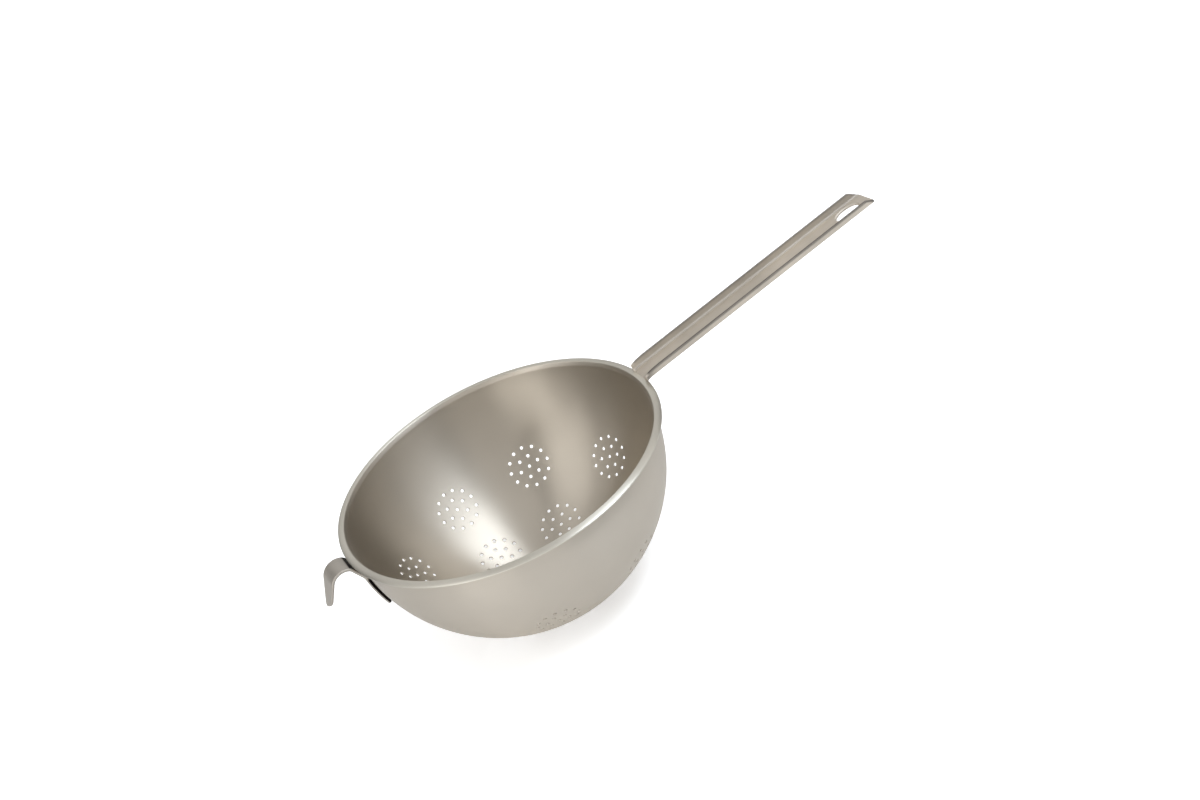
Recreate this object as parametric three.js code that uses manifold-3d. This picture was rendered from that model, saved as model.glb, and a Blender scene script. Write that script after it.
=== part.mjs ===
// One-handled colander: spun hemispherical bowl with turned-out lip and punched rosettes,
// pressed channel handle with a hanging hole, and a bent strip hook opposite the handle.
// Millimetres, +Z up, handle along +X, origin at the centre of the flat base.
import * as THREE from 'three';
import { mergeGeometries, mergeVertices } from 'three/addons/utils/BufferGeometryUtils.js';
import Module from 'manifold-3d';

const wasm = await Module();
wasm.setup();

// Bowl
const SHEET = 1.0;                // thickness of the spun sheet
const BOWL_R = 114.5;             // outer radius of the sphere
const BASE_R = 38;                // radius of the flat pressed into the bottom
const BOWL_SEGMENTS = 36;
const BOWL_ROWS = 8;

// Lip, with heights measured from the equator of the sphere and reaches from the outer wall
const LIP_REACH = 5.5;            // reach of the outer edge
const LIP_TURN = 0.4;             // height at which the wall starts to turn out
const LIP_CROWN = 5.0;            // height of the crown
const LIP_CROWN_REACH = 2.7;      // reach of the crown
const LIP_EDGE = 3.4;             // height of the outer edge

// Rosettes of holes
const HOLE_D = 2.5;
const HOLE_SIDES = 6;
const PUNCH_LENGTH = 60;          // length of the slender punch, which narrows inwards
const ROSETTE_RINGS = [           // holes and radius of each ring around the middle hole
  { count: 6, radius: 7.75, turn: 0 },
  { count: 12, radius: 14.7, turn: 15 },
];
const ROSETTE_TURN = 48;          // turn of every rosette from its meridian
// Angles around the bowl and from its bottom, in degrees; the upper ring is uneven and askew
const UPPER_TURNS = [26.5, 68, 106.8, 149.9, 202, 254, 302, 343];
const UPPER_POLAR = 53.4;
const UPPER_LEAN = { angle: 2, towards: 81 };
const LOWER_COUNT = 7;
const LOWER_POLAR = 30.4;
const LOWER_START = 58.6;

// Handle, in its own frame: x along it from the edge of the lip, z up from its floor
const HANDLE_LENGTH = 204.5;
const HANDLE_WIDTH = 24.8;
const HANDLE_SHEET = 1.4;
const HANDLE_DEPTH = 3.6;         // height of the turned-up edges above the floor
const HANDLE_BEND = 2.6;          // inner radius of the two bends
const HANDLE_INCLINE = 7.0;       // rise of the handle, in degrees
const HANDLE_FLOOR = 5.3;         // height of the floor above the equator, at the lip
const HANDLE_CORNER = 4;          // radius of the end's corners
const HANDLE_SLOPE = 5;           // length over which the turned-up edges run out at the end
const HANDLE_RUNOUT = 0.8;        // height of the turned-up edges at the very end
const HANG_HOLE = { length: 21.2, width: 11.8, margin: 6.3 };

// Hook, with heights measured from the equator and angles in degrees
const HOOK_WIDTH = 18;
const HOOK_TIP = 12;              // width at the free end
const HOOK_SHEET = 2.2;
const HOOK_FOOT = 27.8;           // length of the foot that lies on the wall
const HOOK_FOOT_TOP = 12;         // depth of the foot's upper end
const HOOK_KNEE = 8;              // radius of the bend out from the wall
const HOOK_RISE = 62;             // slope of the strip past the lip
const HOOK_SHOULDER = 5;          // radius of the bend above the lip's edge
const HOOK_SLOPE = 30;            // slope at which the shoulder passes into the arch
const HOOK_ARCH = 11;             // radius of the arch
const HOOK_CREST = 2.1;           // height of the arch's middle line
const HOOK_FLARE = 25;            // lean of the free leg
const HOOK_LEG = 16;

// Weld
const WELD_LEG = 2.2;
const WELD_SWELL = 0.62;          // swelling of the bead's face, as a share of its leg

// Clearances
const SEAT = 0.3;                 // gap between pieces that are joined
const OVERCUT = 2;                // overrun of cutting shapes

const rad = THREE.MathUtils.degToRad;
const EQUATOR = Math.sqrt(BOWL_R ** 2 - BASE_R ** 2);
const LIP_R = BOWL_R + LIP_REACH;
const LIP_CROWN_R = BOWL_R + LIP_CROWN_REACH;

const steel = (color, roughness) =>
  new THREE.MeshStandardMaterial({ color, roughness, metalness: 1 });

function solid(geometry) {
  const bare = geometry.clone();
  bare.deleteAttribute('normal');
  bare.deleteAttribute('uv');
  const closed = mergeVertices(bare, 1e-4);
  return new wasm.Manifold(new wasm.Mesh({
    numProp: 3,
    vertProperties: new Float32Array(closed.attributes.position.array),
    triVerts: new Uint32Array(closed.index.array),
  }));
}

function geometryOf(manifold) {
  const mesh = manifold.getMesh();
  const geometry = new THREE.BufferGeometry();
  geometry.setAttribute('position', new THREE.BufferAttribute(mesh.vertProperties, 3));
  geometry.setIndex(new THREE.BufferAttribute(mesh.triVerts, 1));
  geometry.computeVertexNormals();
  return geometry;
}

function part(name, geometry, material) {
  const mesh = new THREE.Mesh(geometry, material);
  mesh.name = name;
  return mesh;
}

// A body of revolution about Z from a profile of [radius, height] points.
function revolve(points, segments) {
  const profile = points.map(([r, z]) => new THREE.Vector2(r, z));
  return new THREE.LatheGeometry(profile, segments).rotateX(Math.PI / 2);
}

// Points of the sphere's section between two polar angles from the bottom.
function meridian(radius, from, to, steps) {
  return Array.from({ length: steps + 1 }, (_, i) => {
    const polar = from + ((to - from) * i) / steps;
    return [radius * Math.sin(polar), EQUATOR - radius * Math.cos(polar)];
  });
}

// Points of the lip's upper or under face: a quarter ellipse up to the crown, one down to the edge.
function lipFace(wallRadius, drop, edgeRadius) {
  const crown = LIP_CROWN - drop;
  const points = [];
  for (const t of [0, 30, 60, 90]) {
    points.push([
      LIP_CROWN_R - (LIP_CROWN_R - wallRadius) * Math.cos(rad(t)),
      EQUATOR + LIP_TURN + (crown - LIP_TURN) * Math.sin(rad(t)),
    ]);
  }
  for (const t of [60, 30, 0]) {
    points.push([
      LIP_CROWN_R + (edgeRadius - LIP_CROWN_R) * Math.cos(rad(t)),
      EQUATOR + LIP_EDGE - drop + (crown - LIP_EDGE + drop) * Math.sin(rad(t)),
    ]);
  }
  return points;
}

function bowlBlank() {
  const inner = BOWL_R - SHEET;
  const outerStart = Math.asin(BASE_R / BOWL_R);
  const innerStart = Math.acos((EQUATOR - SHEET) / inner);
  const equator = Math.PI / 2;
  const outside = meridian(BOWL_R, outerStart, equator, BOWL_ROWS);
  const inside = meridian(inner, innerStart, equator, BOWL_ROWS);
  return revolve([
    [0, 0],
    ...outside,
    ...lipFace(BOWL_R, SHEET, LIP_R - SHEET / 2),
    ...lipFace(inner, 0, LIP_R).reverse(),
    ...inside.reverse(),
    [0, SHEET],
  ], BOWL_SEGMENTS);
}

// Centres of one rosette's holes, as offsets along its meridian and across it.
function rosetteOffsets() {
  const offsets = [[0, 0]];
  for (const { count, radius, turn } of ROSETTE_RINGS) {
    for (let i = 0; i < count; i++) {
      const angle = rad(ROSETTE_TURN + turn + (360 * i) / count);
      offsets.push([radius * Math.cos(angle), radius * Math.sin(angle)]);
    }
  }
  return offsets;
}

// A slender cone as wide as a hole where it passes the middle of the sheet.
function holePunch(position, direction) {
  const reach = OVERCUT + SHEET / 2;
  const base = (HOLE_D / 2) * (PUNCH_LENGTH / (PUNCH_LENGTH - reach));
  const punch = new THREE.ConeGeometry(base, PUNCH_LENGTH, HOLE_SIDES)
    .translate(0, PUNCH_LENGTH / 2 - reach, 0);
  const turn = new THREE.Quaternion().setFromUnitVectors(new THREE.Vector3(0, -1, 0), direction);
  return punch.applyQuaternion(turn).translate(position.x, position.y, position.z);
}

// Punches for a rosette on the sphere, each hole square to the wall.
function rosettePunches(azimuth, polar) {
  const radius = BOWL_R - SHEET / 2;
  const centre = new THREE.Vector3(0, 0, EQUATOR);
  const outward = new THREE.Vector3().setFromSphericalCoords(1, rad(180 - polar), 0);
  const upward = new THREE.Vector3().setFromSphericalCoords(1, rad(90 - polar), 0);
  for (const vector of [outward, upward]) {
    vector.set(vector.z, vector.x, vector.y).applyAxisAngle(new THREE.Vector3(0, 0, 1), rad(azimuth));
  }
  const across = new THREE.Vector3().crossVectors(upward, outward);
  return rosetteOffsets().map(([u, v]) => {
    const arc = Math.hypot(u, v);
    const heading = new THREE.Vector3().addScaledVector(upward, u).addScaledVector(across, v);
    const direction = outward.clone().multiplyScalar(Math.cos(arc / radius));
    if (arc > 0) direction.addScaledVector(heading, Math.sin(arc / radius) / arc);
    return holePunch(direction.clone().multiplyScalar(radius).add(centre), direction);
  });
}

function upperPunches() {
  return UPPER_TURNS.flatMap((azimuth) => {
    const lean = UPPER_LEAN.angle * Math.cos(rad(azimuth - UPPER_LEAN.towards));
    return rosettePunches(azimuth, UPPER_POLAR + lean);
  });
}

function lowerPunches() {
  const turns = Array.from({ length: LOWER_COUNT }, (_, i) => LOWER_START + (360 * i) / LOWER_COUNT);
  return turns.flatMap((azimuth) => rosettePunches(azimuth, LOWER_POLAR));
}

// Punches for the rosette in the base, whose middle stays whole.
function basePunches() {
  const down = new THREE.Vector3(0, 0, -1);
  const rings = rosetteOffsets().slice(1);
  return rings.map(([u, v]) => holePunch(new THREE.Vector3(u, v, SHEET / 2), down));
}

function bowl() {
  const punches = [...upperPunches(), ...lowerPunches(), ...basePunches()];
  return geometryOf(solid(bowlBlank()).subtract(solid(mergeGeometries(punches))));
}

// Section of the handle across its length: a shallow channel, open at the top.
function channelSection() {
  const half = HANDLE_WIDTH / 2;
  const inner = half - HANDLE_SHEET;
  const bend = HANDLE_BEND + HANDLE_SHEET;
  const shape = new THREE.Shape();
  shape.moveTo(-half, HANDLE_DEPTH);
  shape.absarc(-half + bend, bend - HANDLE_SHEET, bend, Math.PI, 1.5 * Math.PI);
  shape.absarc(half - bend, bend - HANDLE_SHEET, bend, 1.5 * Math.PI, 2 * Math.PI);
  shape.lineTo(half, HANDLE_DEPTH);
  shape.lineTo(inner, HANDLE_DEPTH);
  shape.absarc(inner - HANDLE_BEND, HANDLE_BEND, HANDLE_BEND, 0, -0.5 * Math.PI, true);
  shape.absarc(-inner + HANDLE_BEND, HANDLE_BEND, HANDLE_BEND, 1.5 * Math.PI, Math.PI, true);
  shape.lineTo(-inner, HANDLE_DEPTH);
  return shape;
}

// Outline of the handle from above, with rounded end corners and the hanging hole.
function handlePlan() {
  const half = HANDLE_WIDTH / 2 + OVERCUT;
  const corner = HANDLE_WIDTH / 2 - HANDLE_CORNER;
  const straight = HANDLE_LENGTH - HANDLE_CORNER;
  const shape = new THREE.Shape();
  shape.moveTo(-HANDLE_WIDTH, -half);
  shape.lineTo(straight, -half);
  shape.lineTo(straight, -HANDLE_WIDTH / 2);
  shape.absarc(straight, -corner, HANDLE_CORNER, -0.5 * Math.PI, 0);
  shape.absarc(straight, corner, HANDLE_CORNER, 0, 0.5 * Math.PI);
  shape.lineTo(straight, half);
  shape.lineTo(-HANDLE_WIDTH, half);
  const hole = new THREE.Path();
  const middle = HANDLE_LENGTH - HANG_HOLE.margin - HANG_HOLE.length / 2;
  hole.absellipse(middle, 0, HANG_HOLE.length / 2, HANG_HOLE.width / 2, 0, 2 * Math.PI);
  shape.holes.push(hole);
  return shape;
}

// Outline of the handle from the side: the turned-up edges run out towards the end.
function handleSide() {
  const low = -HANDLE_SHEET - OVERCUT;
  const high = HANDLE_DEPTH + OVERCUT;
  const shape = new THREE.Shape();
  shape.moveTo(-HANDLE_WIDTH, low);
  shape.lineTo(HANDLE_LENGTH + OVERCUT, low);
  shape.lineTo(HANDLE_LENGTH + OVERCUT, HANDLE_RUNOUT);
  shape.lineTo(HANDLE_LENGTH, HANDLE_RUNOUT);
  shape.lineTo(HANDLE_LENGTH - HANDLE_SLOPE, HANDLE_DEPTH);
  shape.lineTo(HANDLE_LENGTH - HANDLE_SLOPE, high);
  shape.lineTo(-HANDLE_WIDTH, high);
  return shape;
}

function placeHandle(geometry) {
  return geometry.rotateY(-rad(HANDLE_INCLINE)).translate(LIP_R, 0, EQUATOR + HANDLE_FLOOR);
}

function handle() {
  const length = HANDLE_LENGTH + HANDLE_WIDTH;
  const tall = HANDLE_WIDTH;
  const channel = new THREE.ExtrudeGeometry(channelSection(), {
    depth: length, bevelEnabled: false, curveSegments: 5,
  }).rotateX(Math.PI / 2).rotateZ(Math.PI / 2).translate(-HANDLE_WIDTH, 0, 0);
  const plan = new THREE.ExtrudeGeometry(handlePlan(), {
    depth: tall, bevelEnabled: false, curveSegments: 12,
  }).translate(0, 0, -tall / 2);
  const side = new THREE.ExtrudeGeometry(handleSide(), {
    depth: HANDLE_WIDTH + 2 * OVERCUT, bevelEnabled: false,
  }).rotateX(Math.PI / 2).translate(0, HANDLE_WIDTH / 2 + OVERCUT, 0);
  const lip = new THREE.CylinderGeometry(LIP_R + SEAT, LIP_R + SEAT, 2 * EQUATOR, 4 * BOWL_SEGMENTS)
    .rotateX(Math.PI / 2).translate(0, 0, EQUATOR);
  return geometryOf(
    solid(placeHandle(channel))
      .intersect(solid(placeHandle(plan)))
      .intersect(solid(placeHandle(side)))
      .subtract(solid(lip)),
  );
}

// Bends a line of points onwards from one slope to another, turning down.
function bendOn(line, radius, from, to, steps) {
  const centre = new THREE.Vector2(Math.sin(from), -Math.cos(from))
    .multiplyScalar(radius).add(line[line.length - 1]);
  for (let i = 1; i <= steps; i++) {
    const slope = from + ((to - from) * i) / steps;
    line.push(new THREE.Vector2(-Math.sin(slope), Math.cos(slope)).multiplyScalar(radius).add(centre));
  }
}

// Middle line of the hook's strip in the plane of [radius, height above the equator].
function hookLine() {
  const onWall = BOWL_R + SEAT + HOOK_SHEET / 2;
  const footTop = Math.asin(HOOK_FOOT_TOP / onWall);
  const footEnd = footTop + HOOK_FOOT / onWall;
  const line = [];
  for (let i = 0; i <= 6; i++) {
    const angle = footEnd + ((footTop - footEnd) * i) / 6;
    line.push(new THREE.Vector2(onWall * Math.cos(angle), -onWall * Math.sin(angle)));
  }
  const rise = rad(HOOK_RISE);
  const slope = rad(HOOK_SLOPE);
  bendOn(line, HOOK_KNEE, Math.PI / 2 - footTop, rise, 4);
  const knee = line[line.length - 1];
  const archHeight = HOOK_CREST - HOOK_ARCH * (1 - Math.cos(slope));
  const height = archHeight - HOOK_SHOULDER * (Math.cos(slope) - Math.cos(rise));
  line.push(new THREE.Vector2(knee.x + (height - knee.y) / Math.tan(rise), height));
  bendOn(line, HOOK_SHOULDER, rise, slope, 3);
  bendOn(line, HOOK_ARCH, slope, rad(HOOK_FLARE - 90), 9);
  const leg = new THREE.Vector2(Math.sin(rad(HOOK_FLARE)), -Math.cos(rad(HOOK_FLARE)));
  line.push(leg.multiplyScalar(HOOK_LEG).add(line[line.length - 1]));
  return line;
}

// Closed outline of a strip of even thickness along a line of points.
function stripOutline(line, thickness) {
  const sides = [[], []];
  line.forEach((point, i) => {
    const before = line[Math.max(i - 1, 0)];
    const after = line[Math.min(i + 1, line.length - 1)];
    const along = new THREE.Vector2().subVectors(after, before).normalize();
    const normal = new THREE.Vector2(-along.y, along.x);
    sides[0].push(normal.clone().multiplyScalar(thickness / 2).add(point));
    sides[1].push(normal.clone().multiplyScalar(-thickness / 2).add(point));
  });
  return new THREE.Shape([...sides[0], ...sides[1].reverse()]);
}

// The hook's strip, narrowed over its free leg.
function hook() {
  const line = hookLine();
  const tip = line[line.length - 1];
  const strip = new THREE.ExtrudeGeometry(stripOutline(line, HOOK_SHEET), {
    depth: 1, bevelEnabled: false,
  }).translate(0, 0, -0.5);
  const points = strip.attributes.position;
  for (let i = 0; i < points.count; i++) {
    const atTip = tip.distanceTo(new THREE.Vector2(points.getX(i), points.getY(i))) < HOOK_SHEET;
    points.setZ(i, points.getZ(i) * (atTip ? HOOK_TIP : HOOK_WIDTH));
  }
  return strip.rotateX(Math.PI / 2).translate(0, 0, EQUATOR).rotateZ(Math.PI);
}

// Fillet seam in the corner under the handle's root, along the edge of the lip.
function handleWeld() {
  const corner = LIP_R + SEAT;
  const top = EQUATOR + HANDLE_FLOOR - HANDLE_SHEET / Math.cos(rad(HANDLE_INCLINE)) - SEAT;
  const seam = revolve([
    [corner, top],
    [corner, top - WELD_LEG],
    [corner + WELD_SWELL * WELD_LEG, top - WELD_SWELL * WELD_LEG],
    [corner + WELD_LEG, top],
    [corner, top],
  ], 4 * BOWL_SEGMENTS);
  const span = HANDLE_WIDTH - 2 * (HANDLE_BEND + HANDLE_SHEET);
  const window = new THREE.BoxGeometry(LIP_R, span, LIP_R).translate(LIP_R, 0, EQUATOR);
  return geometryOf(solid(seam).intersect(solid(window)));
}

const colander = new THREE.Group();
colander.name = 'colander';
colander.add(part('bowl', bowl(), steel(0xb9b4a9, 0.3)));
colander.add(part('handle', handle(), steel(0xaea699, 0.38)));
colander.add(part('hook', hook(), steel(0xaaa49a, 0.38)));
colander.add(part('handle_weld', handleWeld(), steel(0x9c968c, 0.5)));

export default colander;
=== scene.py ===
import math

import bmesh
import bpy
import numpy as np
from bpy.props import FloatProperty, FloatVectorProperty, IntProperty, PointerProperty
from mathutils import Matrix, Vector


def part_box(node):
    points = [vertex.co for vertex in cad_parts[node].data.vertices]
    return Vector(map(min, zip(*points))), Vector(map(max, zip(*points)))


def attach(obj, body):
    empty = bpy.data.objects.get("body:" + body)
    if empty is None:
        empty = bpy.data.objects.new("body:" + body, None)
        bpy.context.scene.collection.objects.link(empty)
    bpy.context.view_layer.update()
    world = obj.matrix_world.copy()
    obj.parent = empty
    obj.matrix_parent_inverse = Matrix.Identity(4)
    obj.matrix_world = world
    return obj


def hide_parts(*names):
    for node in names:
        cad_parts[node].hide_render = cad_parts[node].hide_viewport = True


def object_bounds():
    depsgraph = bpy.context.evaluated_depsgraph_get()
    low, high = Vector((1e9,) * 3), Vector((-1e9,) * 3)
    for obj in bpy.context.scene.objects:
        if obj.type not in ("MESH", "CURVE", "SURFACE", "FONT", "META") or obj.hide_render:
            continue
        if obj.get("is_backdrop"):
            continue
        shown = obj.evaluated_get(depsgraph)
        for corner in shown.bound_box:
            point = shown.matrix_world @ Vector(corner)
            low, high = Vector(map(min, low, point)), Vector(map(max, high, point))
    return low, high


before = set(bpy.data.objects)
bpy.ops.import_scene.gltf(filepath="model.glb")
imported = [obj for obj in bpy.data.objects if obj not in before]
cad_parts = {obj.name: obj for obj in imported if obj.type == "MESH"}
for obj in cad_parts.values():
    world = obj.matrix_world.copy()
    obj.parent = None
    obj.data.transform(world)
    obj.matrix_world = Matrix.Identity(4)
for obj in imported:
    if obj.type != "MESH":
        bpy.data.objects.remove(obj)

bl_info = {
    "name": "One-handled colander",
    "version": (1, 0, 0),
    "blender": (4, 5, 0),
    "location": "View3D > Sidebar > Colander",
    "description": "Spun steel colander with punched rosettes, a channel handle and a rest hook",
    "category": "Object",
}

CAD_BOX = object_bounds()
BOWL_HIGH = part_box("bowl")[1]
HANDLE_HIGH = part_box("handle")[1]
HOOK_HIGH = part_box("hook")[1]
MM = 0.001
PHOTO_WIDTH, PHOTO_HEIGHT = 1200, 800
SENSOR = 36.0
CLIP_END = 100.0
UPPER_TURNS = (26.5, 68.0, 106.8, 149.9, 202.0, 254.0, 302.0, 343.0)


def length(name, description, millimetres):
    return FloatProperty(
        name=name, description=description, default=millimetres * MM, unit="LENGTH", precision=4)


def angle(name, description, degrees):
    return FloatProperty(
        name=name, description=description, default=math.radians(degrees), subtype="ANGLE")


def share(name, description, value):
    return FloatProperty(
        name=name, description=description, default=value, min=0.0, max=1.0, subtype="FACTOR")


def colour(name, description, rgb):
    return FloatVectorProperty(
        name=name, description=description, default=rgb, min=0.0, max=1.0, subtype="COLOR")


class BowlSizes(bpy.types.PropertyGroup):
    """Sizes of the spun bowl, its lip and its rosettes of holes."""

    sheet: length("Sheet", "Thickness of the spun sheet", 1.0)
    radius: length("Radius", "Outer radius of the sphere", 114.5)
    base_fillet: length("Base fillet", "Outer radius of the bend around the base", 10)
    lip_crown: length("Lip crown", "Height of the CAD lip's crown above the equator", 5.0)
    lip_level: length("Lip level", "Height of the lip's top above the equator", 4.2)
    lip_flare: length("Lip flare", "How far the wall widens below the lip's bend", 1.0)
    lip_lean: angle("Lip lean", "Lean of the widened wall below the lip's bend", 25)
    lip_bend: length("Lip bend", "Radius of the lip's bend, at its upper face", 0.9)
    lip_edge: length("Lip edge", "Height of the lip's outer edge above the equator", 2.6)
    hole: length("Hole", "Diameter of a drain hole", 2.5)
    hole_easing: length("Hole easing", "Width of the eased edge of a hole", 0.18)
    inner_ring: length("Inner ring", "Radius of the ring of 6 holes", 7.75)
    outer_ring: length("Outer ring", "Radius of the ring of 12 holes", 14.7)
    rosette_turn: angle("Rosette turn", "Turn of a rosette from its meridian", 48)
    upper_polar: angle("Upper polar", "Angle of the upper ring from the bottom", 53.4)
    upper_lean: angle("Upper lean", "Lean of the upper ring from the level", 2.0)
    upper_towards: angle("Upper towards", "Angle from the handle at which the upper ring is highest", 81)
    upper_turns: FloatVectorProperty(
        name="Upper turns", description="Angles of the upper ring's rosettes from the handle",
        subtype="NONE", size=len(UPPER_TURNS), default=[math.radians(turn) for turn in UPPER_TURNS])
    lower_count: IntProperty(name="Lower rosettes", description="Rosettes in the lower ring", default=7)
    lower_polar: angle("Lower polar", "Angle of the lower ring from the bottom", 30.4)
    lower_start: angle("Lower start", "Angle of its first rosette from the handle", 58.6)

    @property
    def equator(self):
        return BOWL_HIGH.z - self.lip_crown

    @property
    def lip(self):
        return BOWL_HIGH.y


class HandleSizes(bpy.types.PropertyGroup):
    """Sizes of the pressed channel handle and its weld."""

    length: length("Length", "Length of the floor from the lip's edge", 204.2)
    sheet: length("Sheet", "Thickness of the strip", 2.0)
    depth: length("Depth", "Height of the turned-up edges above the floor", 4.8)
    bend: length("Bend", "Inner radius of the two bends", 2.4)
    opening: angle("Opening", "How far the turned-up edges lean outwards", 16)
    incline: angle("Incline", "Rise of the handle", 7.0)
    floor: length("Floor", "Height of the floor above the equator, at the lip", 4.75)
    corner: length("Corner", "Reach of the blank's rounded corners at the end", 7.0)
    skew: angle("Skew", "How far the end is cut off square", 5.5)
    hole_length: length("Hole length", "Length of the hanging hole", 19.2)
    hole_width: length("Hole width", "Width of the hanging hole", 11.4)
    hole_margin: length("Hole margin", "Metal between the hanging hole and the end", 7.8)
    collar: length("Collar", "Radius of the rim that is drawn down around the hanging hole", 0.55)
    easing: length("Easing", "Width of the eased edges", 0.55)
    overlap: length("Overlap", "Reach of the root over the lip", 1.0)
    rise: length("Rise", "Length over which the turned-up edges rise at the root", 12.0)
    weld: length("Weld", "Leg of the weld seam under the root", 2.2)


class HookSizes(bpy.types.PropertyGroup):
    """Sizes of the bent strip hook."""

    sheet: length("Sheet", "Thickness of the strip", 2.2)
    tip: length("Tip", "Width at the free end", 9.5)
    seat: length("Seat", "Gap between the foot and the wall", 0.3)
    foot: length("Foot", "Length of the foot that lies on the wall", 27.8)
    foot_top: length("Foot top", "Depth of the foot's upper end below the equator", 12)
    knee: length("Knee", "Radius of the bend out from the wall", 8)
    rise: angle("Rise", "Slope of the strip past the lip", 62)
    shoulder: length("Shoulder", "Radius of the bend above the lip's edge", 5)
    slope: angle("Slope", "Slope at which the shoulder passes into the arch", 30)
    arch: length("Arch", "Radius of the arch", 10.5)
    crest: length("Crest", "Height of the arch's middle line above the equator", 3.0)
    flare: angle("Flare", "Lean of the free leg", 25)
    leg: length("Leg", "Length of the free leg", 18.5)
    skew: length("Skew", "How far the tip slants down on one side and up on the other", 2.5)
    corner: length("Corner", "Radius of the corners at both ends", 3.4)
    easing: length("Easing", "Width of the eased edges", 0.5)


class Finishes(bpy.types.PropertyGroup):
    """Colours and polish of the steel."""

    bowl: colour("Bowl", "Colour of the spun steel", (0.545, 0.497, 0.427))
    strip: colour("Strip", "Colour of the brushed strip steel", (0.58, 0.523, 0.448))
    hook: colour("Hook", "Colour of the hook's steel", (0.475, 0.438, 0.388))
    weld: colour("Weld", "Colour of the weld bead", (0.50, 0.46, 0.41))
    lip: colour("Lip", "Colour of the buffed lip", (0.635, 0.603, 0.53))
    # the soot colour also paints shade: on the hook's foot rim and under-lip face, and in the handle's
    # bends
    soot_and_shade: colour("Soot", "Colour of scorched welds and raw cut edges", (0.02, 0.016, 0.015))
    cut: share("Cut edges", "How dark the raw cut edges of the handle are", 0.72)
    bowl_roughness: share("Bowl roughness", "Roughness of the spun steel", 0.42)
    bowl_grain: share("Bowl grain", "How much the spinning marks spread the shine", 0.9)
    strip_roughness: share("Strip roughness", "Roughness of the strip steel", 0.56)
    weld_roughness: share("Weld roughness", "Roughness of the weld bead", 0.45)


class StageSizes(bpy.types.PropertyGroup):
    """View of the photograph and light of the studio."""

    elevation: angle("Elevation", "Height of the view above the rim's plane", 31.27)
    azimuth: angle("Azimuth", "Turn of the view around the bowl", -9.0)
    roll: angle("Roll", "Turn of the picture", 27.45)
    focal: FloatProperty(
        name="Focal length", description="Focal length in pixels of the photograph", default=2000.0)
    scale: FloatProperty(
        name="Scale", description="Pixels of the photograph for a millimetre at the bowl",
        default=1.4617)
    centre: FloatVectorProperty(
        name="Centre", description="Pixel of the middle of the rim", size=2, default=(499.15, 469.67))
    floor: colour("Floor", "Colour of the floor", (0.82, 0.82, 0.82))
    world: colour("World", "Colour of the room", (0.2, 0.2, 0.2))


class Value:
    """A node's socket that takes part in sums: each operator adds a Math node."""

    def __init__(self, tree, socket):
        self.tree = tree
        self.socket = socket

    def output(self, name):
        return Value(self.tree, self.socket.node.outputs[name])

    def math(self, operation, *others):
        return self.tree.math(operation, self, *others)

    def __add__(self, other):
        return self.math("ADD", other)

    def __sub__(self, other):
        return self.math("SUBTRACT", other)

    def __mul__(self, other):
        return self.math("MULTIPLY", other)

    def __truediv__(self, other):
        return self.math("DIVIDE", other)

    def __rsub__(self, other):
        return self.tree.math("SUBTRACT", other, self)

    def __rtruediv__(self, other):
        return self.tree.math("DIVIDE", other, self)

    __radd__ = __add__
    __rmul__ = __mul__


class Tree:
    """Adds the nodes of one shader or geometry tree."""

    def __init__(self, tree):
        self.tree = tree

    def add(self, kind, settings=None, inputs=None):
        """A node with its settings, then the values or links of its sockets; gives its first output."""
        node = self.tree.nodes.new(kind)
        for key, value in (settings or {}).items():
            if key == "items":
                while len(node.index_switch_items) < value:
                    node.index_switch_items.new()
            else:
                setattr(node, key, value)
        for key, value in (inputs or {}).items():
            links = value if isinstance(value, list) else [value]
            for link in links:
                if isinstance(link, Value):
                    self.tree.links.new(link.socket, node.inputs[key])
                else:
                    node.inputs[key].default_value = link
        return Value(self, node.outputs[0]) if len(node.outputs) else None

    def math(self, operation, *values):
        return self.add("ShaderNodeMath", {"operation": operation}, dict(enumerate(values)))

    def vector(self, x, y, z):
        return self.add("ShaderNodeCombineXYZ", None, {0: x, 1: y, 2: z})

    def mix(self, factor, first, second):
        node = self.add("ShaderNodeMix", {"data_type": "RGBA"}, {0: factor, 6: first, 7: second})
        return Value(self, node.socket.node.outputs[2])

    def pick(self, index, values):
        """The value with the given number, counted from 0."""
        settings = {"data_type": "FLOAT", "items": len(values)}
        return self.add("GeometryNodeIndexSwitch", settings, dict(enumerate((index, *values))))


MARKS_AND_SHADE = "dark_marks"
NOISE_MEAN = 0.5
NOISES = {
    # name: scale, detail, roughness; marks and bands run over millimetres of arc
    "marks": (1.6, 2.0, 0.6),
    "bands": (0.16, 1.0, 0.5),
    "bowl_clouds": (14.0, 3.0, 0.55),
    "smears": (45.0, 2.0, 0.5),
    "grain": (1.0, 3.0, 0.6),
    "strip_clouds": (60.0, 4.0, 0.6),
    "stains": (22.0, 2.0, 0.5),
}


def opaque(rgb, gain=1.0):
    return (*(min(channel * gain, 1.0) for channel in rgb), 1.0)


def new_material(name):
    material = bpy.data.materials.new(name)
    material.use_nodes = True
    material.node_tree.nodes.clear()
    return material, Tree(material.node_tree)


def noise(tree, name, **place):
    """One of the noises, along a length W or over the points of a Vector."""
    scale, detail, roughness = NOISES[name]
    settings = {"noise_dimensions": "1D" if "W" in place else "3D"}
    return tree.add("ShaderNodeTexNoise", settings,
                    {"Scale": scale, "Detail": detail, "Roughness": roughness, **place})


def close_material(tree, shader):
    tree.add("ShaderNodeOutputMaterial", None, {"Surface": shader})


def close_steel(tree, base, rough, relief, height, brushing=None):
    """Ends a steel: bare metal with a fine relief and, where given, a drawn-out shine."""
    bump = tree.add("ShaderNodeBump", None, {**relief, "Height": height})
    close_material(tree, tree.add("ShaderNodeBsdfPrincipled", None, {
        "Base Color": base, "Metallic": 1.0, "Roughness": rough, "Normal": bump,
        **(brushing or {})}))


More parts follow.
